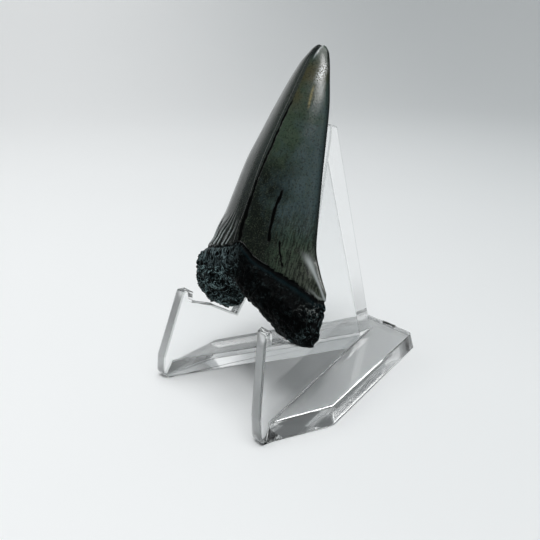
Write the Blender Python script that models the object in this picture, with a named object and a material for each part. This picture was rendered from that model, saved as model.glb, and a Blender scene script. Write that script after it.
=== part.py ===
"""Fossil shark tooth leaning in a small clear easel.

Two pieces. The tooth is one solid: a pointed crown with two cutting edges, grown together with a
lumpy root of two lobes. The easel is one clear moulding: a V of two upright wings that meet in a
spine at the back, each with a foot, a lip, a ledge and a leaning rest edge, on a flat base that
widens outside the wings.

The frame is +Z up, in metres. The easel opens toward -Y and is symmetric about X = 0. The origin is
on the underside of the base, below the foot of the spine. Sizes below are in millimetres.
"""

import math

import bmesh
import bpy
import numpy as np

MM = 0.001

# Easel, driving sizes
BASE_THICKNESS = 2.5
EASEL_HEIGHT = 40.5
WING_CLOSES_PER_DEPTH = 0.37
WING_CLOSES_PER_HEIGHT = 0.10
WING_THICKNESS_AT_SPINE = 1.3
WING_THICKENS_PER_DEPTH = 0.02
FOOT_FRONT = -36.85
FOOT_RADIUS = 1.3
LIP_HEIGHT = 15.4
LIP_FRONT = -33.85
LIP_LENGTH = 1.5
LIP_RADIUS = 0.5
LEDGE_HEIGHT = 13.1
NOTCH = (-25.3, 10.1)
REST_TOP = (-12.65, 38.5)
APEX_FRONT = -12.2
APEX_DROP = 0.5

# Base outline outside the wings: x, y and corner radius of one half, at its top and at its underside
BASE_TOP = ((12.7, -35.1, 0.0), (15.1, -24.2, 2.4), (6.1, 4.3, 1.2))
BASE_UNDER = ((13.4, -35.8, 0.0), (16.3, -25.4, 2.4), (6.8, 4.5, 1.2))
CORNER_STEPS = 6
GATE_NUB = (-0.6, 1.9, 5.0)

# Tooth, driving sizes: its height runs from the tip of the right root lobe's level to the crown tip
TOOTH_LENGTH = 44.2
LEAN_DEG = 24.5
TILT_DEG = 6.0
TOOTH_FOOT = (-1.0, -26.45, 12.0)

# Side outline: height, left edge, right edge
SIDES = (
    (0.0, -14.2, 17.4),
    (3.0, -14.5, 16.1),
    (6.0, -14.6, 13.8),
    (9.0, -13.5, 11.5),
    (12.0, -13.5, 9.7),
    (15.0, -12.5, 8.9),
    (19.0, -11.5, 8.0),
    (24.0, -10.6, 6.9),
    (29.0, -8.9, 5.9),
    (34.0, -7.2, 4.8),
    (38.0, -5.6, 3.6),
    (41.0, -4.2, 2.7),
    (42.6, -3.1, 2.4),
)
# Lower outline of the two root lobes: share of the way across, height
LOBES = (
    (0.0, 5.9),
    (0.07, 2.4),
    (0.18, 0.1),
    (0.30, 0.6),
    (0.40, 2.9),
    (0.47, 3.2),
    (0.54, 1.7),
    (0.62, 0.0),
    (0.74, -1.7),
    (0.86, -2.1),
    (0.94, 3.3),
    (1.0, 6.1),
)
# Bulge of the two faces out of the plane of the cutting edges: height, front, back
BULGE = (
    (0.0, 4.8, 1.1),
    (4.0, 6.4, 1.2),
    (8.0, 6.9, 1.2),
    (12.0, 6.2, 1.2),
    (16.0, 5.6, 1.2),
    (22.0, 4.9, 1.2),
    (30.0, 3.9, 1.1),
    (36.0, 2.9, 0.9),
    (40.0, 2.1, 0.7),
    (44.2, 0.9, 0.4),
)
# Where the crown ends on the root: across, height
NECK = (
    (-15.0, 9.2),
    (-9.5, 9.0),
    (-4.5, 9.4),
    (-1.6, 9.9),
    (-0.3, 10.6),
    (3.3, 8.8),
    (7.9, 7.1),
    (11.6, 5.7),
    (13.2, 5.0),
    (16.0, 6.0),
)
LOBE_ROUNDING = 4.0
NECK_RIDGE = 0.3
NECK_RIDGE_WIDTH = 0.7
ROOT_LUMPS = 0.28
COLUMNS = 37
ROWS = 52


def smooth_curve(points):
    """A curve through points (x, y) that never overshoots them, as a function of an array."""
    xs, ys = np.array(points, dtype=float).T
    step = np.diff(xs)
    slope = np.diff(ys) / step
    tangent = np.zeros(len(xs))
    before, after = slope[:-1], slope[1:]
    turns = before * after <= 0
    safe_before = np.where(turns, 1.0, before)
    safe_after = np.where(turns, 1.0, after)
    tangent[1:-1] = np.where(turns, 0.0, 2 / (1 / safe_before + 1 / safe_after))
    tangent[0], tangent[-1] = slope[0], slope[-1]

    def value(x):
        x = np.clip(x, xs[0], xs[-1])
        i = np.clip(np.searchsorted(xs, x, side="right") - 1, 0, len(xs) - 2)
        t = (x - xs[i]) / step[i]
        start = (1 + 2 * t) * (1 - t) ** 2 * ys[i] + t * (1 - t) ** 2 * step[i] * tangent[i]
        end = t * t * (3 - 2 * t) * ys[i + 1] - t * t * (1 - t) * step[i] * tangent[i + 1]
        return start + end

    return value


def new_object(name, verts_mm, faces, material):
    """A mesh object from vertices in millimetres, with its faces pointing out."""
    mesh = bpy.data.meshes.new(name)
    mesh.from_pydata([tuple(MM * c for c in v) for v in verts_mm], [], faces)
    bm = bmesh.new()
    bm.from_mesh(mesh)
    bmesh.ops.recalc_face_normals(bm, faces=bm.faces)
    bm.to_mesh(mesh)
    bm.free()
    obj = bpy.data.objects.new(name, mesh)
    bpy.context.scene.collection.objects.link(obj)
    if material is not None:
        mesh.materials.append(material)
    return obj


def plain_material(name, colour, roughness, transmission=0.0, ior=1.5):
    material = bpy.data.materials.new(name)
    material.use_nodes = True
    shader = material.node_tree.nodes["Principled BSDF"]
    shader.inputs["Base Color"].default_value = (*colour, 1.0)
    shader.inputs["Roughness"].default_value = roughness
    shader.inputs["Metallic"].default_value = 0.0
    shader.inputs["Transmission Weight"].default_value = transmission
    shader.inputs["IOR"].default_value = ior
    return material


def prism(name, lower, upper):
    """A solid between two outlines with the same number of corners, as lists of (x, y, z)."""
    count = len(lower)
    faces = [tuple(range(count)), tuple(range(2 * count - 1, count - 1, -1))]
    faces += [(i, (i + 1) % count, count + (i + 1) % count, count + i) for i in range(count)]
    return new_object(name, list(lower) + list(upper), faces, None)


def combine(target, tool, operation):
    """Apply a Boolean with tool to target and drop the tool."""
    modifier = target.modifiers.new(operation.title(), "BOOLEAN")
    modifier.operation = operation
    modifier.solver = "EXACT"
    modifier.object = tool
    bpy.context.view_layer.update()
    evaluated = target.evaluated_get(bpy.context.evaluated_depsgraph_get())
    result = bpy.data.meshes.new_from_object(evaluated)
    target.modifiers.clear()
    target.data = result
    bpy.data.objects.remove(tool)


def arc(centre, radius, start_deg, end_deg, steps=CORNER_STEPS):
    """Points (a, b) on an arc, both ends included."""
    angles = np.radians(np.linspace(start_deg, end_deg, steps + 1))
    return [(centre[0] + radius * math.cos(a), centre[1] + radius * math.sin(a)) for a in angles]


def rounded(corners):
    """An outline (x, y) from corners (x, y, radius), each rounded by an arc of CORNER_STEPS steps."""
    outline = []
    for i in range(1, len(corners) - 1):
        here = np.array(corners[i][:2])
        back = np.array(corners[i - 1][:2]) - here
        on = np.array(corners[i + 1][:2]) - here
        back /= np.linalg.norm(back)
        on /= np.linalg.norm(on)
        half = math.acos(float(np.clip(back @ on, -1, 1))) / 2
        reach = corners[i][2] / math.tan(half)
        centre = here + (back + on) / np.linalg.norm(back + on) * corners[i][2] / math.sin(half)
        start = here + back * reach - centre
        end = here + on * reach - centre
        turn = math.atan2(start[0] * end[1] - start[1] * end[0], float(start @ end))
        first = math.atan2(start[1], start[0])
        for k in range(CORNER_STEPS + 1):
            angle = first + turn * k / CORNER_STEPS
            outline.append(tuple(centre + corners[i][2] * np.array((math.cos(angle), math.sin(angle)))))
    return [corners[0][:2]] + outline + [corners[-1][:2]]


def wing_face(y, z, share):
    """Distance from X = 0 of a wing's outer face (share 0), inner face (1) or a plane between them."""
    closes = WING_CLOSES_PER_DEPTH - share * WING_THICKENS_PER_DEPTH
    return -closes * y - WING_CLOSES_PER_HEIGHT * (z - BASE_THICKNESS) - share * WING_THICKNESS_AT_SPINE


def wing_apex(z, share):
    """The y at which that face meets its mirror image."""
    closes = WING_CLOSES_PER_DEPTH - share * WING_THICKENS_PER_DEPTH
    return -(WING_CLOSES_PER_HEIGHT * (z - BASE_THICKNESS) + share * WING_THICKNESS_AT_SPINE) / closes


def wing_profile():
    """Side view (y, z) of a wing, from the foot round the lip, ledge, rest edge and apex."""
    foot = arc((FOOT_FRONT + FOOT_RADIUS, FOOT_RADIUS), FOOT_RADIUS, 270, 180)
    lip_back = LIP_FRONT + LIP_LENGTH
    lip = arc((lip_back - LIP_RADIUS, LIP_HEIGHT - LIP_RADIUS), LIP_RADIUS, 90, 0, 4)
    ledge = [(lip_back, LEDGE_HEIGHT + 0.3), (lip_back + 0.5, LEDGE_HEIGHT), (-28.8, 12.2)]
    apex = [REST_TOP, (APEX_FRONT, EASEL_HEIGHT), (-10.1, EASEL_HEIGHT - APEX_DROP)]
    beyond = [(4.0, EASEL_HEIGHT - APEX_DROP), (4.0, 0.0)]
    return foot + [(FOOT_FRONT + 0.1, 4.0), (LIP_FRONT, LIP_HEIGHT)] + lip + ledge + [NOTCH] + apex + beyond


def wings():
    """Both wings as one V, cut to the side view."""
    open_end = -45.0
    low, high = 0.0, 48.0

    def section(z):
        outer = [(wing_face(open_end, z, 0.0), open_end), (0.0, wing_apex(z, 0.0))]
        inner = [(0.0, wing_apex(z, 1.0)), (wing_face(open_end, z, 1.0), open_end)]
        mirror_outer = (-outer[0][0], outer[0][1])
        mirror_inner = (-inner[1][0], inner[1][1])
        ring = outer + [mirror_outer, mirror_inner] + inner
        return [(x, y, z) for x, y in ring]

    vee = prism("wings", section(low), section(high))
    side = wing_profile()
    reach = 30.0
    cutter = prism("side_view", [(-reach, y, z) for y, z in side], [(reach, y, z) for y, z in side])
    combine(vee, cutter, "INTERSECT")
    return vee


def base():
    """The flat base outside the wings, open to the front, with its little moulding nub."""
    middle = 0.5

    def outline(half, z):
        tip_y = half[0][1]
        start = (wing_face(tip_y, z, middle), tip_y, 0.0)
        outer = rounded([start, *half, (0.0, half[-1][1], 0.0)])
        right = [(x, y, z) for x, y in outer]
        left = [(-x, y, z) for x, y in reversed(outer[:-1])]
        return right + left + [(0.0, wing_apex(z, middle), z)]

    plate = prism("base", outline(BASE_UNDER, 0.0), outline(BASE_TOP, BASE_THICKNESS))
    left, right, back = GATE_NUB
    front = BASE_TOP[-1][1] - 1.0
    nub_outline = [(left, front), (right, front), (right, back), (left, back)]
    nub = prism("nub", [(x, y, 0.8) for x, y in nub_outline], [(x, y, BASE_THICKNESS - 0.1) for x, y in nub_outline])
    combine(plate, nub, "UNION")
    return plate


def make_easel(material):
    easel = wings()
    combine(easel, base(), "UNION")
    easel.name = "easel"
    easel.data.name = "easel"
    easel.data.materials.clear()
    easel.data.materials.append(material)
    return easel


def lumps(across, height, face):
    """Rounded lumps and hollows of the root, from -1 to 1, different on the two faces."""
    turn = 1.7 * face
    broad = np.sin(1.15 * across + 0.5 * height + turn) * np.sin(1.3 * height - 0.4 * across + 2.1 * turn)
    narrow = np.sin(2.1 * across - 1.1 * height + 3.0 * turn) * np.sin(1.9 * height + 0.9 * across - turn)
    return 0.6 * broad + 0.4 * narrow


def tooth_grids():
    """Place across, height, and depth of the front and the back face, at every row and column."""
    left = smooth_curve([(h, a) for h, a, _ in SIDES])
    right = smooth_curve([(h, b) for h, _, b in SIDES])
    lobes = smooth_curve(LOBES)
    front = smooth_curve([(h, a) for h, a, _ in BULGE])
    back = smooth_curve([(h, b) for h, _, b in BULGE])
    neck = smooth_curve(NECK)

    share = (1 - np.cos(np.pi * np.linspace(0, 1, COLUMNS)))[:, None] / 2
    down = 1 - (1 - np.linspace(0, 1, ROWS)[None, :]) ** 1.3
    bottom = lobes(share)
    height = TOOTH_LENGTH - (TOOTH_LENGTH - bottom) * down
    blunt_from = SIDES[-1][0]
    blunt = np.sqrt(np.clip((TOOTH_LENGTH - height) / (TOOTH_LENGTH - blunt_from), 0, 1))
    middle = (left(height) + right(height)) / 2
    half_width = (right(height) - left(height)) / 2 * blunt
    side = 2 * share - 1
    across = middle + half_width * side

    root = np.clip((12 - height) / 4, 0, 1)
    lens = (1 - side**2) ** 0.85
    thick = np.clip(1 - np.abs(side) ** 2.6, 0, 1) ** 0.55
    profile = (1 - root) * lens + root * thick
    near_bottom = np.clip((height - bottom) / LOBE_ROUNDING, 0, 1)
    profile = profile * np.sqrt(np.clip(1 - (1 - near_bottom) ** 2, 0, 1))

    over_neck = height - neck(across)
    ridge = NECK_RIDGE * np.exp(-((over_neck / NECK_RIDGE_WIDTH) ** 2))
    rough = np.clip(-over_neck / 1.2, 0, 1) * ROOT_LUMPS
    taper = np.clip(profile * 1.6, 0, 1)
    front_depth = front(height) * profile + (ridge + rough * lumps(across, height, 0)) * taper
    back_depth = back(height) * profile + rough * 0.5 * lumps(across, height, 1) * taper
    return across, height, front_depth, back_depth


def make_tooth(material):
    """The closed tooth: a front and a back face that share the rim, in the tooth's own frame."""
    across, height, front_depth, back_depth = tooth_grids()
    verts, index = [], {}

    def vertex(face, i, j):
        rim = i in (0, COLUMNS - 1) or j in (0, ROWS - 1)
        if j == 0:
            key = ("tip",)
        elif rim:
            key = ("rim", i, j)
        else:
            key = (face, i, j)
        if key not in index:
            index[key] = len(verts)
            depth = 0.0 if rim else (-front_depth[i, j], back_depth[i, j])[face]
            verts.append((across[i, j], depth, height[i, j]))
        return index[key]

    faces = []
    for face in (0, 1):
        for i in range(COLUMNS - 1):
            for j in range(ROWS - 1):
                ring = [vertex(face, i, j), vertex(face, i + 1, j)]
                ring += [vertex(face, i + 1, j + 1), vertex(face, i, j + 1)]
                ring = list(dict.fromkeys(ring))
                faces.append(tuple(ring if face == 0 else reversed(ring)))
    tooth = new_object("tooth", verts, faces, material)
    tooth.data.shade_smooth()
    tooth.rotation_mode = "YXZ"
    tooth.rotation_euler = (-math.radians(LEAN_DEG), -math.radians(TILT_DEG), 0.0)
    tooth.location = tuple(MM * c for c in TOOTH_FOOT)
    return tooth


def main():
    for obj in list(bpy.data.objects):
        bpy.data.objects.remove(obj)
    clear = plain_material("clear_plastic", (0.95, 0.97, 0.98), 0.05, transmission=1.0, ior=1.49)
    fossil = plain_material("fossil_enamel_and_root", (0.035, 0.038, 0.034), 0.4)
    make_easel(clear)
    make_tooth(fossil)


main()
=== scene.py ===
"""Looks of the fossil shark tooth and its clear easel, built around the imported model.

The tooth is rebuilt as a fine mesh, a little slimmer than its solid, with its cracks, folds, neck and
rough root as relief. The easel is its own solid with rounded edges in clear plastic. Sizes below are
in millimetres, and MM turns them into metres.
"""

import math

import bmesh
import bpy
import numpy as np
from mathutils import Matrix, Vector, noise
from mathutils.bvhtree import BVHTree


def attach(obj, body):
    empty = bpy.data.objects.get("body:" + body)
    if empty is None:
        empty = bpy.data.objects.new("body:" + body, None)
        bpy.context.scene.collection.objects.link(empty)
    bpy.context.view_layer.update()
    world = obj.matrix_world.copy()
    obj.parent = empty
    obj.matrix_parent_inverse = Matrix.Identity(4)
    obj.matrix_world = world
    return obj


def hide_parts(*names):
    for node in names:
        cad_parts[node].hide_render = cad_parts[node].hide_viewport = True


MM = 0.001

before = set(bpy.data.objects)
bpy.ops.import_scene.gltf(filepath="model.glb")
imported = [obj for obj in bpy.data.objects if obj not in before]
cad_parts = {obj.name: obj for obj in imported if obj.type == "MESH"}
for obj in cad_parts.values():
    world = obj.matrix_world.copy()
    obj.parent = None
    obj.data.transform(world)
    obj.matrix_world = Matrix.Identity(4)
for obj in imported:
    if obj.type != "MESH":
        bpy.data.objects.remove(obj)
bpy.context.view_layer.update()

# Tooth, driving sizes, in the tooth's own frame: X across, Y to the back, Z up the tooth
TOOTH_LENGTH = 44.2
LEAN_DEG = 24.5
TILT_DEG = 6.0
TOOTH_FOOT = (-1.0, -26.45, 12.0)

# Side outline: height, left edge, right edge
SIDES = (
    (0.0, -14.2, 17.4),
    (3.0, -14.5, 16.1),
    (6.0, -14.6, 13.8),
    (9.0, -13.3, 11.5),
    (12.0, -13.1, 9.7),
    (15.0, -12.25, 8.9),
    (19.0, -11.5, 8.0),
    (24.0, -10.6, 6.9),
    (29.0, -8.9, 5.9),
    (34.0, -7.2, 4.8),
    (38.0, -5.6, 3.5),
    (41.0, -4.1, 2.45),
    (42.7, -2.9, 1.65),
)
# Lower outline of the two root lobes: share of the way across, height
LOBES = (
    (0.0, 5.9),
    (0.07, 2.4),
    (0.18, 0.1),
    (0.30, 0.6),
    (0.40, 2.9),
    (0.47, 3.2),
    (0.54, 1.7),
    (0.62, 0.0),
    (0.74, -1.7),
    (0.86, -2.1),
    (0.94, 3.3),
    (1.0, 6.1),
)
# Bulge of the two faces out of the plane of the cutting edges: height, front, back
BULGE = (
    (0.0, 4.8, 1.1),
    (4.0, 6.4, 1.2),
    (8.0, 6.6, 1.2),
    (12.0, 6.05, 1.2),
    (16.0, 5.5, 1.2),
    (22.0, 4.8, 1.2),
    (30.0, 3.65, 1.1),
    (36.0, 2.5, 0.9),
    (40.0, 1.75, 0.7),
    (44.2, 1.0, 0.5),
)
# Where the crown ends on the root: across, height
NECK = (
    (-15.0, 9.2),
    (-9.5, 9.0),
    (-4.5, 9.4),
    (-1.6, 9.9),
    (-0.3, 10.6),
    (3.3, 8.8),
    (7.9, 7.1),
    (11.6, 5.7),
    (13.2, 5.0),
    (16.0, 6.0),
)
# The crown's right edge thins to a flange where it flares, below this height
FLARE_TOP = 14.0
# The crown's lens goes on outwards by this much per millimetre down, and the flange reaches beyond it
FLARE_LEAN = 0.36
# Thickness of the flange as a share of the face's bulge
FLANGE = 0.2
# Section of the crown: a lens, hollower in the flute beside the flange, which is complete at a height
LENS_POWER = 0.85
FLUTE_POWER = 0.45
FLUTE_FULL = 8.0
# Section of the root: a full oval with flat faces
ROOT_FLATNESS = 2.6
ROOT_FULLNESS = 0.55
# Heights over which the lobes' ends and the tip round off
LOBE_ROUNDING = 4.0
TIP_ROUNDING = 2.4
# Lumps of the root: height, distance below the neck where they are full, and the back's share
ROOT_LUMPS = 0.28
LUMPS_FADE = 1.2
BACK_LUMPS = 0.5

# Relief on the tooth's surface: height of what stands out, depth of what is cut in
NECK_LIP = 0.14
NECK_GROOVE = 0.16
NECK_RIDGE = 0.09
CROWN_WAVES = 0.025
EDGE_FLUTE = 0.10
ROOT_KNOBS = 0.26
ROOT_WORMS = 0.34
ROOT_GRAINS = 0.26
FOLD_HEIGHT = 0.17
WEAR_HEIGHT = 0.06
WORN_DEPTH = 0.12
TIP_NOTCH = 0.22
# Share of the front's cracks and folds that the back has
BACK_CRACKS = 0.35
BACK_FOLDS = 0.3

# Materials of the tooth, in the order of its slots
ENAMEL_SLOT, ROOT_SLOT, CRACK_SLOT = 0, 1, 2
# Faces of the crown that are darker than this with crack have the crack's material
CRACK_FROM = 0.55

# Fine mesh of the tooth
COLUMNS = 214
ROWS = 224
EDGE_CROWDING = 0.4
TIP_CROWDING = 1.25
FOOT_CROWDING = 1.3

# Cracks down the front of the crown: width, depth and points (height, across)
MAIN_CRACK = ((9.6, -0.1), (13.8, -0.94), (20.7, -1.22), (24.3, -1.0), (28.6, -0.74), (36.9, -0.22))
SECOND_CRACK = ((11.4, 4.2), (14.7, 3.67), (17.0, 3.5), (20.6, 3.6))
THIRD_CRACK = ((8.3, 7.0), (10.4, 6.1), (12.5, 5.3))
CRACKS = ((0.22, 0.09, MAIN_CRACK), (0.26, 0.03, SECOND_CRACK), (0.14, 0.03, THIRD_CRACK))

# Marks on the crown: points (height, across)
GOLD_STREAK = ((32.8, 2.66), (34.6, 2.34), (36.6, 2.04))
WEAR_LINE = ((41.2, 0.26), (43.9, 0.46))


def smooth_curve(points):
    """A curve through points (x, y) that never overshoots them, as a function of an array."""
    xs, ys = np.array(points, dtype=float).T
    step = np.diff(xs)
    slope = np.diff(ys) / step
    tangent = np.zeros(len(xs))
    before, after = slope[:-1], slope[1:]
    turns = before * after <= 0
    safe_before = np.where(turns, 1.0, before)
    safe_after = np.where(turns, 1.0, after)
    tangent[1:-1] = np.where(turns, 0.0, 2 / (1 / safe_before + 1 / safe_after))
    tangent[0], tangent[-1] = slope[0], slope[-1]

    def value(x):
        x = np.clip(x, xs[0], xs[-1])
        i = np.clip(np.searchsorted(xs, x, side="right") - 1, 0, len(xs) - 2)
        t = (x - xs[i]) / step[i]
        start = (1 + 2 * t) * (1 - t) ** 2 * ys[i] + t * (1 - t) ** 2 * step[i] * tangent[i]
        end = t * t * (3 - 2 * t) * ys[i + 1] - t * t * (1 - t) * step[i] * tangent[i + 1]
        return start + end

    return value


def column_curve(rows, column):
    """The curve of one column of a table over its first column."""
    return smooth_curve([(row[0], row[column]) for row in rows])


left_edge = column_curve(SIDES, 1)
right_edge = column_curve(SIDES, 2)
front_bulge = column_curve(BULGE, 1)
back_bulge = column_curve(BULGE, 2)
lobe_ends = smooth_curve(LOBES)
neck_height = smooth_curve(NECK)


def smooth_step(value, low, high):
    """0 below low, 1 above high and an S curve between them; low may be the higher number."""
    t = np.clip((value - low) / (high - low), 0, 1)
    return t * t * (3 - 2 * t)


def bell(value, width):
    """1 at value 0, falling off smoothly to both sides."""
    return np.exp(-((value / width) ** 2))


def lumps_of(points, size, shift=0.0):
    """Smooth noise from -1 to 1 at each point (x, y, z); size is one lump's size along each axis."""
    scaled = points / np.array(size) + shift
    return np.array([noise.noise(Vector(p)) for p in scaled])


def lumps(across, height, face):
    """Rounded lumps and hollows of the root, as its solid has them."""
    turn = 1.7 * face
    broad = np.sin(1.15 * across + 0.5 * height + turn)
    broad *= np.sin(1.3 * height - 0.4 * across + 2.1 * turn)
    narrow = np.sin(2.1 * across - 1.1 * height + 3.0 * turn)
    narrow *= np.sin(1.9 * height + 0.9 * across - turn)
    return 0.6 * broad + 0.4 * narrow


def tooth_grids():
    """Place across, height, side (-1 to 1), and depth of front and back at each row and column."""
    even = np.linspace(0, 1, COLUMNS)[:, None]
    crowded = (1 - np.cos(np.pi * even)) / 2
    share = EDGE_CROWDING * crowded + (1 - EDGE_CROWDING) * even
    down = 1 - (1 - np.linspace(0, 1, ROWS)[None, :] ** TIP_CROWDING) ** FOOT_CROWDING
    bottom = lobe_ends(share)
    height = TOOTH_LENGTH - (TOOTH_LENGTH - bottom) * down
    blunt = np.sqrt(np.clip((TOOTH_LENGTH - height) / (TOOTH_LENGTH - SIDES[-1][0]), 0, 1))
    left, right = left_edge(height), right_edge(height)
    middle = (left + right) / 2
    half_width = (right - left) / 2 * blunt
    side = np.broadcast_to(2 * share - 1, height.shape)
    across = middle + half_width * side

    over_neck = height - neck_height(across)
    to_left = smooth_step(side, 0.2, -0.5)
    root = smooth_step(over_neck - 1.6 * to_left, 0.3, -3.0)
    below_flare_top = np.maximum(FLARE_TOP - height, 0)
    unflared = right_edge(np.maximum(height, FLARE_TOP)) + FLARE_LEAN * below_flare_top
    unflared = np.minimum(unflared, right)
    crown_middle = (left + unflared) / 2
    crown_half = (unflared - left) / 2 * blunt
    crown_side = np.clip((across - crown_middle) / np.maximum(crown_half, 0.01), -1, 1)
    flange = FLANGE * np.sqrt(1 - side**2) * (side > 0)
    fluted = smooth_step(height, FLARE_TOP, FLUTE_FULL) * smooth_step(crown_side, 0.0, 0.5)
    lens = np.hypot((1 - crown_side**2) ** (LENS_POWER + FLUTE_POWER * fluted), flange)
    thick = np.clip(1 - np.abs(side) ** ROOT_FLATNESS, 0, 1) ** ROOT_FULLNESS
    profile = (1 - root) * lens + root * thick
    near_bottom = np.clip((height - bottom) / LOBE_ROUNDING, 0, 1)
    near_tip = np.clip((TOOTH_LENGTH - height) / TIP_ROUNDING, 0, 1)
    profile = profile * np.sqrt(np.clip(1 - (1 - near_bottom) ** 2, 0, 1))
    profile = profile * np.sqrt(np.clip(1 - (1 - near_tip) ** 2, 0, 1))

    rough = np.clip(-over_neck / LUMPS_FADE, 0, 1) * ROOT_LUMPS
    taper = np.clip(profile * 1.6, 0, 1)
    front_depth = front_bulge(height) * profile + rough * lumps(across, height, 0) * taper
    back_depth = back_bulge(height) * profile
    back_depth += rough * BACK_LUMPS * lumps(across, height, 1) * taper
    return across, height, side, front_depth, back_depth


def crack_relief(points, across, height):
    """How deep and how dark the cracks are at each point: depth in millimetres, darkness 0 to 1."""
    depth = np.zeros_like(across)
    dark = np.zeros_like(across)
    wander = 0.10 * lumps_of(points, (9.0, 9.0, 1.4), 31.0)
    wander += 0.05 * lumps_of(points, (5.0, 5.0, 0.5), 37.0)
    chips = 1 + 0.6 * lumps_of(points, (2.0, 2.0, 0.7), 41.0)
    for width, deepest, path_points in CRACKS:
        path = smooth_curve(path_points)
        low, high = path_points[0][0], path_points[-1][0]
        fade_from = high - 0.2 * (high - low)
        along = smooth_step(height, low - 0.3, low + 0.3) * smooth_step(height, high, fade_from)
        low_down = 1 + (smooth_step(height, 24.0, 12.0) if path_points is MAIN_CRACK else 0.0)
        groove = bell(across - path(height) - wander, width * chips * low_down) * along
        depth = np.maximum(depth, deepest * groove)
        dark = np.maximum(dark, groove)
    return depth, dark


def fold_waves(points, across, height):
    """Upright folds of the crown that fan out towards its lower left corner, from -1 to 1."""
    share = across / left_edge(height)
    zone = smooth_step(share, 0.10, 0.26) * smooth_step(share, 1.02, 0.93)
    zone *= smooth_step(height, 9.0, 9.6) * smooth_step(height, 15.5, 10.6)
    wander = lumps_of(points, (2.2, 2.2, 3.6), 13.0)
    depth = 0.7 + 0.9 * lumps_of(points, (1.1, 1.1, 4.0), 17.0)
    return zone * depth * np.sin(70.0 * share + 0.16 * (height - 9.0) ** 2 + 5.0 * wander)


def streak(across, height, path_points, width):
    """1 along a thin mark that fades out at both ends, 0 beside it."""
    path = smooth_curve(path_points)
    low, high = path_points[0][0], path_points[-1][0]
    ends = smooth_step(height, low - 0.3, low + 0.8) * smooth_step(height, high + 0.3, high - 0.8)
    return bell(across - path(height), width) * ends


def relief(points, across, height, side, face):
    """Relief along the surface's normal and the masks that colour it, for the vertices of one face."""
    over_neck = height - neck_height(across) + 0.12 * lumps_of(points, (0.9, 0.9, 0.9), 7.0)
    crown = smooth_step(over_neck, -0.10, 0.10)
    root = 1 - crown
    inside = np.clip((1 - np.abs(side)) * 14, 0, 1)
    rim = root + crown * inside

    lip = NECK_LIP * crown
    groove = -NECK_GROOVE * bell(over_neck + 0.22, 0.20)
    below_neck = bell(over_neck + 0.80, 0.2) * smooth_step(across, -1.0, 1.5)
    waves = CROWN_WAVES * lumps_of(points, (3.0, 3.0, 9.0)) * crown
    from_edge = right_edge(height) - across
    flare = smooth_step(height, FLARE_TOP, 10.0) * crown * (1 - face)
    flute = -EDGE_FLUTE * bell(from_edge - 1.15, 0.62) * flare

    deep_root = smooth_step(over_neck, -0.4, -1.3)
    left_lobe = smooth_step(across, 2.0, -3.0)
    network = deep_root * (0.65 + 0.35 * left_lobe)
    knobs = lumps_of(points, (1.9, 1.9, 1.9), 19.0)
    worms = lumps_of(points, (0.62, 0.62, 0.62), 3.0)
    grains = lumps_of(points, (0.33, 0.33, 0.33), 11.0)
    fibre_zone = smooth_step(over_neck, -4.2, -1.6) * smooth_step(over_neck, -0.1, -0.4) * left_lobe
    fine = ROOT_WORMS * worms + ROOT_GRAINS * grains
    root_relief = ROOT_KNOBS * knobs * deep_root + fine * network
    wrinkle_zone = bell(across - 14.3, 1.5) * bell(over_neck + 1.7, 1.0) * root * (1 - face)
    over_hem = height - lobe_ends((side + 1) / 2)

    depth, dark = crack_relief(points, across, height)
    folds = fold_waves(points, across, height)
    if face == 1:
        depth, dark, folds = BACK_CRACKS * depth, BACK_CRACKS * dark, BACK_FOLDS * folds
    wear = streak(across, height, WEAR_LINE, 0.16)
    worn_side = smooth_step(across, 0.45, 0.15) * smooth_step(height, 40.8, 42.6)
    notch = -TIP_NOTCH * bell(across + 0.2, 0.35) * smooth_step(height, 43.3, 44.0)
    total = lip + groove + NECK_RIDGE * below_neck + waves + flute + root_relief
    total += (FOLD_HEIGHT * folds - depth + WEAR_HEIGHT * wear - WORN_DEPTH * worn_side) * crown
    main = smooth_curve(MAIN_CRACK)
    # Painted highlight: a light streak along the flared right edge of the lower crown
    flare_place = 0.6 + 0.5 * smooth_step(height, 6.5, 10.5)
    flare_width = 0.18 + 0.30 * smooth_step(height, 6.0, 10.5)
    flare_highlight = bell(from_edge - flare_place, flare_width) * smooth_step(height, 11.6, 9.8)
    masks = {
        "crack": dark * crown,
        "crests": np.clip(0.5 + 2.0 * fine, 0, 1) * network,
        "fibres": fibre_zone,
        "wrinkles": wrinkle_zone,
        # Painted highlight: where glints are painted along the lobes' lower outline
        "hem": smooth_step(over_hem, 2.4, 0.4),
        "ridge": below_neck,
        "folds": folds,
        "left_band": smooth_step(across, main(height) + 0.15, main(height) - 0.25),
        "gold": streak(across, height, GOLD_STREAK, 0.15) * (1 - face),
        "wear": wear * (1 - face),
        "worn_side": worn_side * (1 - face),
        # Painted highlight: where light flecks stand in for the lamp's glints near the tip
        "painted_tip_glints": bell(across - 2.2, 0.45) * bell(height - 39.0, 1.5) * (1 - face),
        # Painted shade: a thin dark strip on the bevel of the right cutting edge
        "edge": bell(from_edge, 0.22) * smooth_step(height, 8.0, 10.0),
        "flare": flare_highlight * (1 - face),
        # Painted highlight: a light rim along the crown's lower right corner, just above the neck
        "corner": bell(over_neck - 0.26, 0.16) * smooth_step(across, 10.0, 12.6) * (1 - face),
    }
    return total * rim + notch, crown, masks


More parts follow.
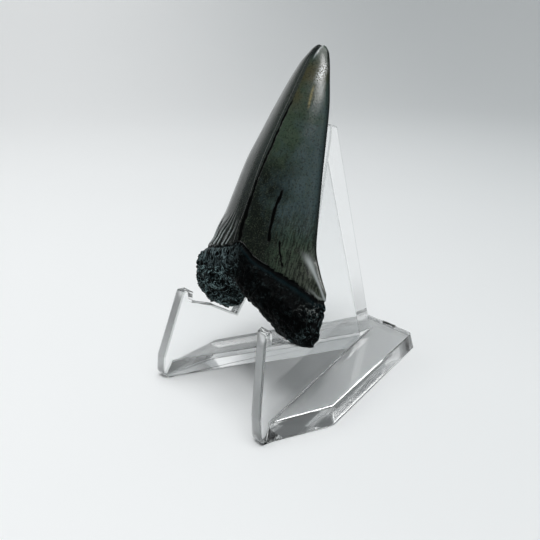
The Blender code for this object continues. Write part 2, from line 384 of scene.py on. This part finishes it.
def tooth_mesh():
    """The closed fine mesh of the tooth, in place, with its masks and its own frame as attributes."""
    across, height, side, front_depth, back_depth = tooth_grids()
    index, rows = {}, []

    def vertex(face, i, j):
        if j == 0:
            key = ("tip",)
        elif i in (0, COLUMNS - 1) or j == ROWS - 1:
            key = ("rim", i, j)
        else:
            key = (face, i, j)
        if key not in index:
            index[key] = len(rows)
            depth = 0.0 if key[0] in ("tip", "rim") else (-front_depth[i, j], back_depth[i, j])[face]
            rows.append((across[i, j], depth, height[i, j], side[i, j], face))
        return index[key]

    faces = []
    for face in (0, 1):
        for i in range(COLUMNS - 1):
            for j in range(ROWS - 1):
                ring = [vertex(face, i, j), vertex(face, i + 1, j)]
                ring += [vertex(face, i + 1, j + 1), vertex(face, i, j + 1)]
                ring = list(dict.fromkeys(ring))
                faces.append(tuple(reversed(ring) if face == 0 else ring))
    table = np.array(rows)
    mesh = bpy.data.meshes.new("fossil_tooth")
    mesh.from_pydata((table[:, :3] * MM).tolist(), [], faces)
    normals = np.zeros(len(table) * 3)
    mesh.vertex_normals.foreach_get("vector", normals)
    normals = normals.reshape(-1, 3)

    points = table[:, :3]
    lifted = np.zeros(len(table))
    crown = np.zeros(len(table))
    masks = {}
    for face in (0, 1):
        chosen = table[:, 4] == face
        across, height, side = table[chosen, 0], table[chosen, 2], table[chosen, 3]
        lifted[chosen], crown[chosen], found = relief(points[chosen], across, height, side, face)
        for name, value in found.items():
            masks.setdefault(name, np.zeros(len(table)))[chosen] = value
    moved = points + normals * lifted[:, None]
    mesh.vertices.foreach_set("co", (moved * MM).ravel())
    for name, value in masks.items():
        attribute = mesh.attributes.new(name, "FLOAT", "POINT")
        attribute.data.foreach_set("value", value.astype(np.float32))
    own_place = mesh.attributes.new("own_place", "FLOAT_VECTOR", "POINT")
    own_place.data.foreach_set("vector", moved.astype(np.float32).ravel())
    rings = [list(polygon.vertices) for polygon in mesh.polygons]
    on_crown = np.array([crown[ring].mean() for ring in rings])
    in_crack = np.array([masks["crack"][ring].mean() for ring in rings])
    slots = np.where(on_crown < 0.5, ROOT_SLOT, np.where(in_crack > CRACK_FROM, CRACK_SLOT, ENAMEL_SLOT))
    mesh.polygons.foreach_set("material_index", slots.astype(np.int32))
    mesh.shade_smooth()
    mesh.update()
    return mesh


class Nodes:
    """Short calls for building a material's nodes."""

    def __init__(self, name, place=None):
        self.material = bpy.data.materials.new(name)
        self.material.use_nodes = True
        self.tree = self.material.node_tree
        self.shader = self.tree.nodes["Principled BSDF"]
        self.own_place = place

    def link(self, source, target):
        self.tree.links.new(source, target)

    def put(self, socket, value):
        """Give a socket a link, or a value of its own."""
        if isinstance(value, bpy.types.NodeSocket):
            self.link(value, socket)
        else:
            socket.default_value = value

    def attribute(self, name, output="Fac"):
        node = self.tree.nodes.new("ShaderNodeAttribute")
        node.attribute_name = name
        return node.outputs[output]

    def place(self, scale=(1, 1, 1)):
        """The surface's place in millimetres, times scale."""
        node = self.tree.nodes.new("ShaderNodeMapping")
        if self.own_place:
            node.inputs["Scale"].default_value = scale
            self.link(self.attribute(self.own_place, "Vector"), node.inputs["Vector"])
        else:
            where = self.tree.nodes.new("ShaderNodeTexCoord")
            node.inputs["Scale"].default_value = tuple(s / MM for s in scale)
            self.link(where.outputs["Object"], node.inputs["Vector"])
        return node.outputs["Vector"]

    def noise(self, size, detail=2.0, distortion=0.0, stretch=(1, 1, 1)):
        node = self.tree.nodes.new("ShaderNodeTexNoise")
        self.link(self.place(tuple(1 / (size * s) for s in stretch)), node.inputs["Vector"])
        node.inputs["Scale"].default_value = 1.0
        node.inputs["Detail"].default_value = detail
        node.inputs["Distortion"].default_value = distortion
        return node.outputs["Fac"]

    def worms(self, size, thin, distortion=1.0):
        """Thin winding lines, 1 on a line and 0 beside it."""
        away = self.math("ABSOLUTE", self.math("SUBTRACT", self.noise(size, 1.0, distortion), 0.5))
        return self.range(away, 0.0, thin, 1.0, 0.0)

    def range(self, value, low, high, start=0.0, end=1.0):
        node = self.tree.nodes.new("ShaderNodeMapRange")
        node.interpolation_type = "SMOOTHSTEP"
        self.link(value, node.inputs["Value"])
        node.inputs["From Min"].default_value = low
        node.inputs["From Max"].default_value = high
        node.inputs["To Min"].default_value = start
        node.inputs["To Max"].default_value = end
        return node.outputs["Result"]

    def math(self, operation, a, b=0.0):
        node = self.tree.nodes.new("ShaderNodeMath")
        node.operation = operation
        self.put(node.inputs[0], a)
        self.put(node.inputs[1], b)
        return node.outputs["Value"]

    def times(self, *values):
        """The product of several numbers or sockets."""
        product = values[0]
        for value in values[1:]:
            product = self.math("MULTIPLY", product, value)
        return product

    def mix(self, share, a, b):
        """Colour a at share 0, b at share 1."""
        node = self.tree.nodes.new("ShaderNodeMix")
        node.data_type = "RGBA"
        self.put(node.inputs["Factor"], share)
        self.put(node.inputs[6], a if isinstance(a, bpy.types.NodeSocket) else (*a, 1.0))
        self.put(node.inputs[7], b if isinstance(b, bpy.types.NodeSocket) else (*b, 1.0))
        return node.outputs[2]

    def blend(self, share, a, b):
        """Number a at share 0, b at share 1."""
        node = self.tree.nodes.new("ShaderNodeMix")
        node.data_type = "FLOAT"
        self.put(node.inputs["Factor"], share)
        self.put(node.inputs[2], a)
        self.put(node.inputs[3], b)
        return node.outputs[0]

    def axis(self, name):
        """One coordinate in millimetres."""
        node = self.tree.nodes.new("ShaderNodeSeparateXYZ")
        self.link(self.place(), node.inputs["Vector"])
        return node.outputs[name]

    def bump(self, height, distance):
        """Fine relief of the shading, distance in millimetres."""
        node = self.tree.nodes.new("ShaderNodeBump")
        node.inputs["Strength"].default_value = 1.0
        node.inputs["Distance"].default_value = distance * MM
        self.link(height, node.inputs["Height"])
        self.link(node.outputs["Normal"], self.shader.inputs["Normal"])


# Colours of the crown
OLIVE_DARK, OLIVE_LIGHT = (0.026, 0.046, 0.029), (0.040, 0.064, 0.041)
CHARCOAL = (0.0015, 0.0045, 0.0025)
BLUE_GREY = (0.036, 0.062, 0.066)
BROWN = (0.048, 0.046, 0.021)
GOLD = (0.26, 0.22, 0.10)
TAN = (0.052, 0.060, 0.046)
STREAK_DARK = (0.003, 0.006, 0.003)
BAND_LIGHT, BAND_DARK = (0.022, 0.028, 0.027), (0.007, 0.010, 0.009)
SHADE = (0.002, 0.003, 0.003)
# Painted highlight on the crests of the folds
FOLD_CREST_HIGHLIGHT = (0.34, 0.38, 0.38)
GRAIN = (0.060, 0.072, 0.048)
SPECK = (0.002, 0.003, 0.002)
WORN = (0.006, 0.010, 0.009)
WEAR = (0.42, 0.46, 0.46)
# Painted highlight: the light flecks near the tip
TIP_GLINT_COLOUR = (0.62, 0.66, 0.66)
# Painted highlight along the flared right edge
FLARE_HIGHLIGHT = (0.46, 0.50, 0.50)
# Painted highlight on the rim of the crown's lower right corner
CORNER_HIGHLIGHT = (0.30, 0.33, 0.32)
# Painted shade on the bevel of the right cutting edge
CUTTING_EDGE_SHADE = (0.003, 0.004, 0.004)
# Painted shade in and beside the cracks
CRACK_SHADE = (0.0005, 0.0005, 0.0005)
CRACK_DARK, CRACK_LIGHT = (0.0004, 0.0005, 0.0005), (0.0020, 0.0022, 0.0020)

# Colours of the root
# Painted highlight: the root is a little lighter on the crests of its relief
ROOT_DARK, ROOT_LIT_CREST = (0.0002, 0.0005, 0.0006), (0.001, 0.005, 0.006)
# Painted highlight: the root's glint lines
ROOT_GLINT = (0.28, 0.41, 0.42)
ROOT_STRAND = (0.16, 0.22, 0.23)
# Painted highlight: glints on the wrinkles at the root's right corner
ROOT_WRINKLE_GLINT = (0.30, 0.33, 0.32)
ROOT_RIDGE = (0.004, 0.016, 0.020)


def enamel_material():
    """Dark glossy enamel: charcoal low in the middle, olive above, blue-grey right, brown on top."""
    n = Nodes("fossil_enamel", "own_place")
    across = n.axis("X")
    height = n.axis("Z")
    cloud = n.noise(3.2, 3.0)

    olive = n.mix(n.range(cloud, 0.35, 0.65), OLIVE_DARK, OLIVE_LIGHT)
    dark_low = n.times(n.range(height, 28.0, 20.5), n.range(across, 7.0, 3.5))
    dark_low = n.times(dark_low, n.range(cloud, 0.85, 0.55))
    enamel = n.mix(dark_low, olive, CHARCOAL)
    uneven = n.range(n.noise(2.6, 4.0), 0.3, 0.7, -0.35, 0.35)
    to_right = n.math("ADD", n.range(across, 1.5, 6.5), uneven)
    enamel = n.mix(n.times(to_right, n.range(height, 10.0, 18.0)), enamel, BLUE_GREY)
    brown = n.times(n.range(height, 30.0, 36.0), n.range(height, 43.0, 39.0), n.range(across, 4.2, 2.4))
    enamel = n.mix(n.times(brown, n.range(cloud, 0.3, 0.6)), enamel, BROWN)
    enamel = n.mix(n.times(n.attribute("gold"), 0.8), enamel, GOLD)
    low_right = n.times(n.range(height, 13.5, 8.0), n.range(across, 5.5, 10.0))
    enamel = n.mix(n.times(low_right, 0.85), enamel, TAN)
    streaks = n.range(n.noise(0.8, 2.0, stretch=(0.3, 0.3, 3.6)), 0.40, 0.60)
    streak_zone = n.times(n.range(height, 22.0, 11.0), n.range(across, -0.6, 2.0), streaks)
    enamel = n.mix(n.times(streak_zone, 0.9), enamel, STREAK_DARK)

    left_band = n.attribute("left_band")
    band_streaks = n.range(n.noise(0.7, 2.0, stretch=(0.4, 0.4, 5.0)), 0.40, 0.60)
    band = n.mix(n.times(band_streaks, n.range(height, 26.0, 14.0)), BAND_LIGHT, BAND_DARK)
    enamel = n.mix(n.times(left_band, 0.9), enamel, band)
    beside_crack = n.times(n.range(height, 20.0, 11.0), n.range(across, -4.0, -1.6), left_band)
    enamel = n.mix(n.times(beside_crack, 0.8), enamel, SHADE)
    folds = n.attribute("folds")
    # Painted highlight on the folds' raised crests, painted shade in their troughs
    enamel = n.mix(n.range(folds, 0.0, 0.9), enamel, FOLD_CREST_HIGHLIGHT)
    enamel = n.mix(n.range(folds, 0.0, -0.5), enamel, SHADE)

    grain = n.range(n.noise(0.22, 2.0), 0.50, 0.68)
    enamel = n.mix(n.times(grain, 0.4), enamel, GRAIN)
    specks = n.range(n.noise(0.30, 1.0), 0.57, 0.64)
    enamel = n.mix(n.times(specks, 0.5), enamel, SPECK)
    enamel = n.mix(n.attribute("worn_side"), enamel, WORN)
    enamel = n.mix(n.times(n.attribute("wear"), 0.8), enamel, WEAR)
    # Painted highlight: light flecks near the tip stand in for the lamp's glints on the enamel
    tip_glints = n.times(n.attribute("painted_tip_glints"), n.range(n.noise(0.2, 1.0), 0.42, 0.55))
    enamel = n.mix(tip_glints, enamel, TIP_GLINT_COLOUR)
    # Painted highlight: the light streak along the flared right edge
    enamel = n.mix(n.times(n.attribute("flare"), 0.8), enamel, FLARE_HIGHLIGHT)
    # Painted highlight: the light rim at the crown's lower right corner
    enamel = n.mix(n.times(n.attribute("corner"), 0.7), enamel, CORNER_HIGHLIGHT)
    # Painted shade: the dark strip on the bevel of the right cutting edge
    enamel = n.mix(n.times(n.attribute("edge"), 0.9), enamel, CUTTING_EDGE_SHADE)
    # Painted shade: the enamel darkens in and beside the cracks
    enamel = n.mix(n.range(n.attribute("crack"), 0.15, 0.8), enamel, CRACK_SHADE)
    n.link(enamel, n.shader.inputs["Base Color"])

    gloss = n.range(n.noise(1.4, 3.0), 0.3, 0.7, 0.13, 0.22)
    n.link(n.blend(n.range(to_right, 0.2, 1.0), gloss, 0.24), n.shader.inputs["Roughness"])
    n.shader.inputs["Specular IOR Level"].default_value = 0.38
    upright_grain = n.times(n.noise(0.6, 1.0, stretch=(1, 1, 4.0)), 0.5)
    n.bump(n.math("ADD", n.noise(0.22, 2.0), upright_grain), 0.016)
    return n.material


def root_material():
    """Rough black root with a teal cast and painted glints: light lines on its crests, most on the left
    lobe and along the lobes' lower outline.
    """
    n = Nodes("fossil_root", "own_place")
    # Painted highlight: glints are strongest on the left lobe, which faces the light, and along the hem
    left = n.range(n.axis("X"), 2.0, -4.0, 0.06, 1.0)
    lit = n.math("MAXIMUM", left, n.times(n.attribute("hem"), 0.40))
    crests = n.attribute("crests")
    fibres = n.attribute("fibres")
    patches = n.range(n.noise(1.2, 2.0), 0.38, 0.56, 0.25, 1.0)
    # Painted highlight: lighter crests, and light glint lines on them
    root = n.mix(n.range(crests, 0.45, 0.95), ROOT_DARK, ROOT_LIT_CREST)
    lines = n.times(n.worms(0.66, 0.05), patches, lit, n.range(crests, 0.15, 0.50))
    lines = n.times(lines, n.range(fibres, 1.0, 0.0))
    root = n.mix(lines, root, ROOT_GLINT)
    strands = n.range(n.noise(0.36, 2.0, stretch=(0.6, 1.0, 5.0)), 0.47, 0.62)
    root = n.mix(n.times(strands, fibres, 0.75), root, ROOT_STRAND)
    # Painted highlight: bright strokes on the wrinkles at the root's right corner
    strokes = n.times(n.worms(0.9, 0.06, 0.6), n.range(n.noise(0.9, 1.0), 0.44, 0.56))
    root = n.mix(n.times(strokes, n.attribute("wrinkles"), 0.8), root, ROOT_WRINKLE_GLINT)
    root = n.mix(n.times(n.attribute("ridge"), 0.5), root, ROOT_RIDGE)
    n.link(root, n.shader.inputs["Base Color"])
    n.link(n.range(n.noise(0.5, 2.0), 0.3, 0.7, 0.35, 0.60), n.shader.inputs["Roughness"])
    n.shader.inputs["Specular IOR Level"].default_value = 0.03
    n.bump(n.math("ADD", n.noise(0.24, 2.0), n.times(n.noise(0.11, 1.0), 0.4)), 0.12)
    return n.material


def crack_material():
    """The unlit inside of the cracks."""
    n = Nodes("fossil_crack", "own_place")
    n.link(n.mix(n.noise(0.5), CRACK_DARK, CRACK_LIGHT), n.shader.inputs["Base Color"])
    n.shader.inputs["Roughness"].default_value = 0.9
    n.shader.inputs["Specular IOR Level"].default_value = 0.02
    return n.material


def make_tooth():
    """The tooth in its place in the easel, with crown, root and cracks in their own materials."""
    tooth = bpy.data.objects.new("fossil_tooth", tooth_mesh())
    bpy.context.scene.collection.objects.link(tooth)
    tooth.rotation_mode = "YXZ"
    tooth.rotation_euler = (-math.radians(LEAN_DEG), -math.radians(TILT_DEG), 0.0)
    tooth.location = tuple(MM * c for c in TOOTH_FOOT)
    bpy.context.view_layer.update()
    tooth.data.transform(tooth.matrix_world)
    tooth.rotation_euler = (0.0, 0.0, 0.0)
    tooth.location = (0.0, 0.0, 0.0)
    tooth.data.materials.append(enamel_material())
    tooth.data.materials.append(root_material())
    tooth.data.materials.append(crack_material())
    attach(tooth, "root")
    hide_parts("tooth")


# Easel edges
MERGE_WITHIN = 0.1
FLAT_WITHIN_DEG = 1.0
SHARP_FROM_DEG = 20.0
EDGE_ROUNDING = 0.28
EDGE_STEPS = 4
CORNER_ROUNDING = 1.6
CORNER_STEPS = 8
# Edges and faces below this height are taken as the base's
BASE_HEIGHT = 4.0
# Sharp edges no longer than this stay sharp, except the base's in front of a place
SHORT_EDGE = 0.85
BASE_BACK = 2.0
# Vertices farther than this from the solid after the rounding go back onto it
STRAY_FROM = 0.12
# Faces smaller than this, in square millimetres, are shaded smooth
LARGE_FACE = 2.0
# Faces whose normal rises less than this are upright
UPRIGHT_BELOW = 0.6

# Plastic: clear faces, edges darkened by painted shade, frosted front ends and outer edges of the base
PLASTIC_IOR = 1.49
PLASTIC_TINT = (0.76, 0.80, 0.80, 1.0)
PLASTIC_DENSITY = 9.0
FACE_TINT = (0.985, 0.99, 0.99)
# Painted shade: rounded edges are tinted darker, standing in for the dark lines refraction draws along
# them
EDGE_SHADE = (0.55, 0.57, 0.56)
BASE_EDGE_SHARE = 0.5
POLISHED, FROSTED = 0.01, 0.40
END_FROST = 0.9
BASE_FROST = 0.45
FRONT_ENDS = -32.0
BASE_SIDE_TOP = 2.6


def clear_material():
    """Clear moulded plastic: polished faces, edges darkened by painted shade, and frost where the marks
    say so.
    """
    n = Nodes("clear_plastic")
    n.link(n.mix(n.attribute("edge"), FACE_TINT, EDGE_SHADE), n.shader.inputs["Base Color"])
    n.shader.inputs["Transmission Weight"].default_value = 1.0
    n.shader.inputs["IOR"].default_value = PLASTIC_IOR
    n.link(n.blend(n.attribute("frost"), POLISHED, FROSTED), n.shader.inputs["Roughness"])
    n.bump(n.noise(6.0, 1.0), 0.03)
    inside = n.tree.nodes.new("ShaderNodeVolumeAbsorption")
    inside.inputs["Color"].default_value = PLASTIC_TINT
    inside.inputs["Density"].default_value = PLASTIC_DENSITY
    n.link(inside.outputs["Volume"], n.tree.nodes["Material Output"].inputs["Volume"])
    return n.material


def is_outer_corner(edge):
    """Whether an edge is an upright corner of the base's outline, away from the wings' front ends."""
    a, b = (vert.co / MM for vert in edge.verts)
    upright = math.hypot(a.x - b.x, a.y - b.y) < 0.4 and 1.0 < abs(a.z - b.z) < BASE_HEIGHT
    on_base = max(a.z, b.z) < BASE_HEIGHT and -33.0 < a.y < -8.0 and abs(a.x) > 8.0
    return upright and on_base and edge.is_manifold


def is_worth_rounding(edge):
    """Whether an edge is sharp, and either long or one of the base's in front of its back."""
    if not edge.is_manifold or edge.calc_face_angle() < math.radians(SHARP_FROM_DEG):
        return False
    middle = (edge.verts[0].co + edge.verts[1].co) / (2 * MM)
    on_base = middle.z < BASE_HEIGHT and middle.y < BASE_BACK
    return edge.calc_length() > SHORT_EDGE * MM or on_base


def round_edges(bm, edges, radius, steps, clamp):
    """Round edges to a radius in millimetres; with clamp, only as far as there is room."""
    return bmesh.ops.bevel(
        bm,
        geom=edges,
        offset=radius * MM,
        segments=steps,
        profile=0.5,
        affect="EDGES",
        clamp_overlap=clamp,
    )


def make_easel():
    """The easel's own solid with its edges rounded, and its ends and outer edges marked as frosted."""
    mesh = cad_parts["easel"].data.copy()
    mesh.name = "clear_easel"
    bm = bmesh.new()
    bm.from_mesh(mesh)
    bm.faces.layers.float.new("edge")
    bm.faces.layers.float.new("frost")
    edge, frost = bm.faces.layers.float["edge"], bm.faces.layers.float["frost"]
    bmesh.ops.remove_doubles(bm, verts=bm.verts, dist=MERGE_WITHIN * MM)
    bmesh.ops.dissolve_limit(
        bm, angle_limit=math.radians(FLAT_WITHIN_DEG), verts=bm.verts, edges=bm.edges
    )
    corners = [e for e in bm.edges if is_outer_corner(e)]
    round_edges(bm, corners, CORNER_ROUNDING, CORNER_STEPS, clamp=True)
    solid = BVHTree.FromBMesh(bm)
    sharp = [e for e in bm.edges if is_worth_rounding(e)]
    rounded = round_edges(bm, sharp, EDGE_ROUNDING, EDGE_STEPS, clamp=False)
    for vert in bm.verts:
        nearest, _, _, away = solid.find_nearest(vert.co)
        if away > STRAY_FROM * MM:
            vert.co = nearest
        vert.co.z = max(vert.co.z, 0.0)
    bm.normal_update()
    # Painted shade: the wings' rounded edges are darkened fully, the base's by BASE_EDGE_SHARE
    for face in rounded["faces"]:
        upright = abs(face.normal.z) < UPRIGHT_BELOW
        standing = upright and face.calc_center_median().z > BASE_HEIGHT * MM
        face[edge] = 1.0 if standing else BASE_EDGE_SHARE
    for face in bm.faces:
        place = face.calc_center_median() / MM
        upright = abs(face.normal.z) < UPRIGHT_BELOW
        front_end = upright and face.normal.y < -0.7 and place.y < FRONT_ENDS
        base_edge = upright and place.z < BASE_SIDE_TOP and abs(face.normal.x) > 0.25
        outside = abs(place.x) > 0.37 * abs(place.y) + 1.5
        face[frost] = END_FROST if front_end else BASE_FROST if base_edge and outside else 0.0
        face.smooth = face.calc_area() < LARGE_FACE * MM * MM
    bm.to_mesh(mesh)
    bm.free()
    easel = bpy.data.objects.new("clear_easel", mesh)
    bpy.context.scene.collection.objects.link(easel)
    mesh.materials.clear()
    mesh.materials.append(clear_material())
    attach(easel, "root")
    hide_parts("easel")


# Studio: a round pale floor that curves up into a sloping backdrop behind and stays flat in front,
# from one to the other by the cosine of the direction's angle to the front
FRONT_OPEN_FROM = 0.45
BACKDROP_FULL_FROM = -0.1
FLOOR_RADIUS = 330.0
CURVE_RADIUS = 420.0
BACKDROP_SLOPE_DEG = 55.0
BACKDROP_TOP = 620.0
FLOOR_SEGMENTS = 96
CURVE_STEPS = 16
FLOOR_DROP = 0.02
FLOOR_MERGE = 0.01
# Painted shade: the floor's colour goes from light in front to darker at the back and right
PAPER_LIGHT, PAPER_SHADED = (0.96, 0.975, 0.98), (0.67, 0.70, 0.71)


def make_floor():
    """A pale floor, flat around the object, curving up all round into a backdrop."""
    profile = [(FLOOR_RADIUS * share, 0.0) for share in (0.0, 0.25, 0.5, 0.75)]
    slope = math.radians(BACKDROP_SLOPE_DEG)
    for k in range(CURVE_STEPS + 1):
        turn = slope * k / CURVE_STEPS
        reach = FLOOR_RADIUS + CURVE_RADIUS * math.sin(turn)
        profile.append((reach, CURVE_RADIUS * (1 - math.cos(turn))))
    reach, rise = profile[-1]
    profile.append((reach + (BACKDROP_TOP - rise) / math.tan(slope), BACKDROP_TOP))
    bm = bmesh.new()
    verts = [bm.verts.new((r * MM, 0.0, z * MM)) for r, z in profile]
    edges = [bm.edges.new(pair) for pair in zip(verts, verts[1:])]
    bmesh.ops.spin(
        bm,
        geom=verts + edges,
        cent=(0, 0, 0),
        axis=(0, 0, 1),
        angle=2 * math.pi,
        steps=FLOOR_SEGMENTS,
        use_merge=True,
    )
    bmesh.ops.remove_doubles(bm, verts=bm.verts, dist=FLOOR_MERGE * MM)
    for vert in bm.verts:
        reach = max(math.hypot(vert.co.x, vert.co.y), MM)
        vert.co.z *= float(smooth_step(-vert.co.y / reach, FRONT_OPEN_FROM, BACKDROP_FULL_FROM))
    bmesh.ops.recalc_face_normals(bm, faces=bm.faces)
    mesh = bpy.data.meshes.new("studio_floor")
    bm.to_mesh(mesh)
    bm.free()
    mesh.shade_smooth()
    n = Nodes("studio_floor")
    # Painted shade: the floor darkens towards the back and right, where the light falls off
    to_back_right = n.math("ADD", n.axis("Y"), n.times(n.axis("X"), 0.6))
    cloud = n.times(n.noise(60.0, 2.0), 20.0)
    shade = n.range(n.math("ADD", to_back_right, cloud), -150.0, 250.0)
    n.link(n.mix(shade, PAPER_LIGHT, PAPER_SHADED), n.shader.inputs["Base Color"])
    n.shader.inputs["Roughness"].default_value = 0.7
    mesh.materials.append(n.material)
    floor = bpy.data.objects.new("studio_floor", mesh)
    floor.location.z = -FLOOR_DROP * MM
    bpy.context.scene.collection.objects.link(floor)


OBJECT_MIDDLE = Vector((0.0, -18.0, 22.0))
BACKDROP_SPOT = Vector((-440.0, 680.0, 90.0))
LIGHT_DISTANCE = 600.0
SKY_COLOUR = (0.94, 0.98, 1.0, 1.0)
SKY_STRENGTH = 0.16


def make_light(name, azimuth_deg, elevation_deg, size, radiance, aim=OBJECT_MIDDLE):
    """A soft rectangular light. Azimuth 0 is in front of the easel, 90 to its right."""
    az, el = math.radians(azimuth_deg), math.radians(elevation_deg)
    away = Vector((math.sin(az) * math.cos(el), -math.cos(az) * math.cos(el), math.sin(el)))
    place = OBJECT_MIDDLE + away * LIGHT_DISTANCE
    light = bpy.data.lights.new(name, "AREA")
    light.shape = "RECTANGLE"
    light.size, light.size_y = size[0] * MM, size[1] * MM
    light.energy = radiance * math.pi * light.size * light.size_y
    obj = bpy.data.objects.new(name, light)
    obj.location = place * MM
    obj.rotation_euler = (place - aim).to_track_quat("Z", "Y").to_euler()
    obj.visible_camera = False
    bpy.context.scene.collection.objects.link(obj)
    return obj


def make_lights():
    """A ceiling of soft light, a lamp just below it, soft boxes to both sides, a lit backdrop."""
    make_light("ceiling", 0, 88, (500, 500), 3.3)
    lamp = make_light("lamp", 33, 70, (140, 140), 11.0)
    # Seen through the plastic, the lamp would show as white spots in the base
    lamp.visible_transmission = False
    make_light("soft_left", -102, 18, (500, 240), 0.45)
    make_light("soft_right", 78, 48, (250, 190), 0.7)
    make_light("backdrop_light", 230, 80, (400, 400), 0.55, aim=BACKDROP_SPOT)
    world = bpy.data.worlds.new("studio")
    world.use_nodes = True
    background = world.node_tree.nodes["Background"]
    background.inputs["Color"].default_value = SKY_COLOUR
    background.inputs["Strength"].default_value = SKY_STRENGTH
    bpy.context.scene.world = world


# Camera, solved from the photograph
CAMERA_PLACE = (78.327, -88.661, 55.927)
CAMERA_AZIMUTH = 0.87939
CAMERA_ELEVATION = 0.34574
FOCAL_PIXELS = 700.0
FRAME_PIXELS = 540.0


def make_camera():
    """The camera where the photograph was taken from."""
    data = bpy.data.cameras.new("camera")
    data.sensor_width = 36.0
    data.lens = data.sensor_width * FOCAL_PIXELS / FRAME_PIXELS
    data.clip_start = 0.005
    data.clip_end = 10.0
    camera = bpy.data.objects.new("camera", data)
    camera.location = tuple(MM * c for c in CAMERA_PLACE)
    camera.rotation_euler = (math.radians(90) - CAMERA_ELEVATION, 0.0, CAMERA_AZIMUTH)
    bpy.context.scene.collection.objects.link(camera)
    bpy.context.scene.camera = camera


PLASTIC_BOUNCES = 24


def show_as_photographed():
    """Plain contrast, and enough bounces for light to find its way through the plastic."""
    scene = bpy.context.scene
    scene.view_settings.view_transform = "Standard"
    scene.cycles.max_bounces = PLASTIC_BOUNCES
    scene.cycles.glossy_bounces = PLASTIC_BOUNCES
    scene.cycles.transmission_bounces = PLASTIC_BOUNCES


make_tooth()
make_easel()
make_floor()
make_lights()
make_camera()
show_as_photographed()
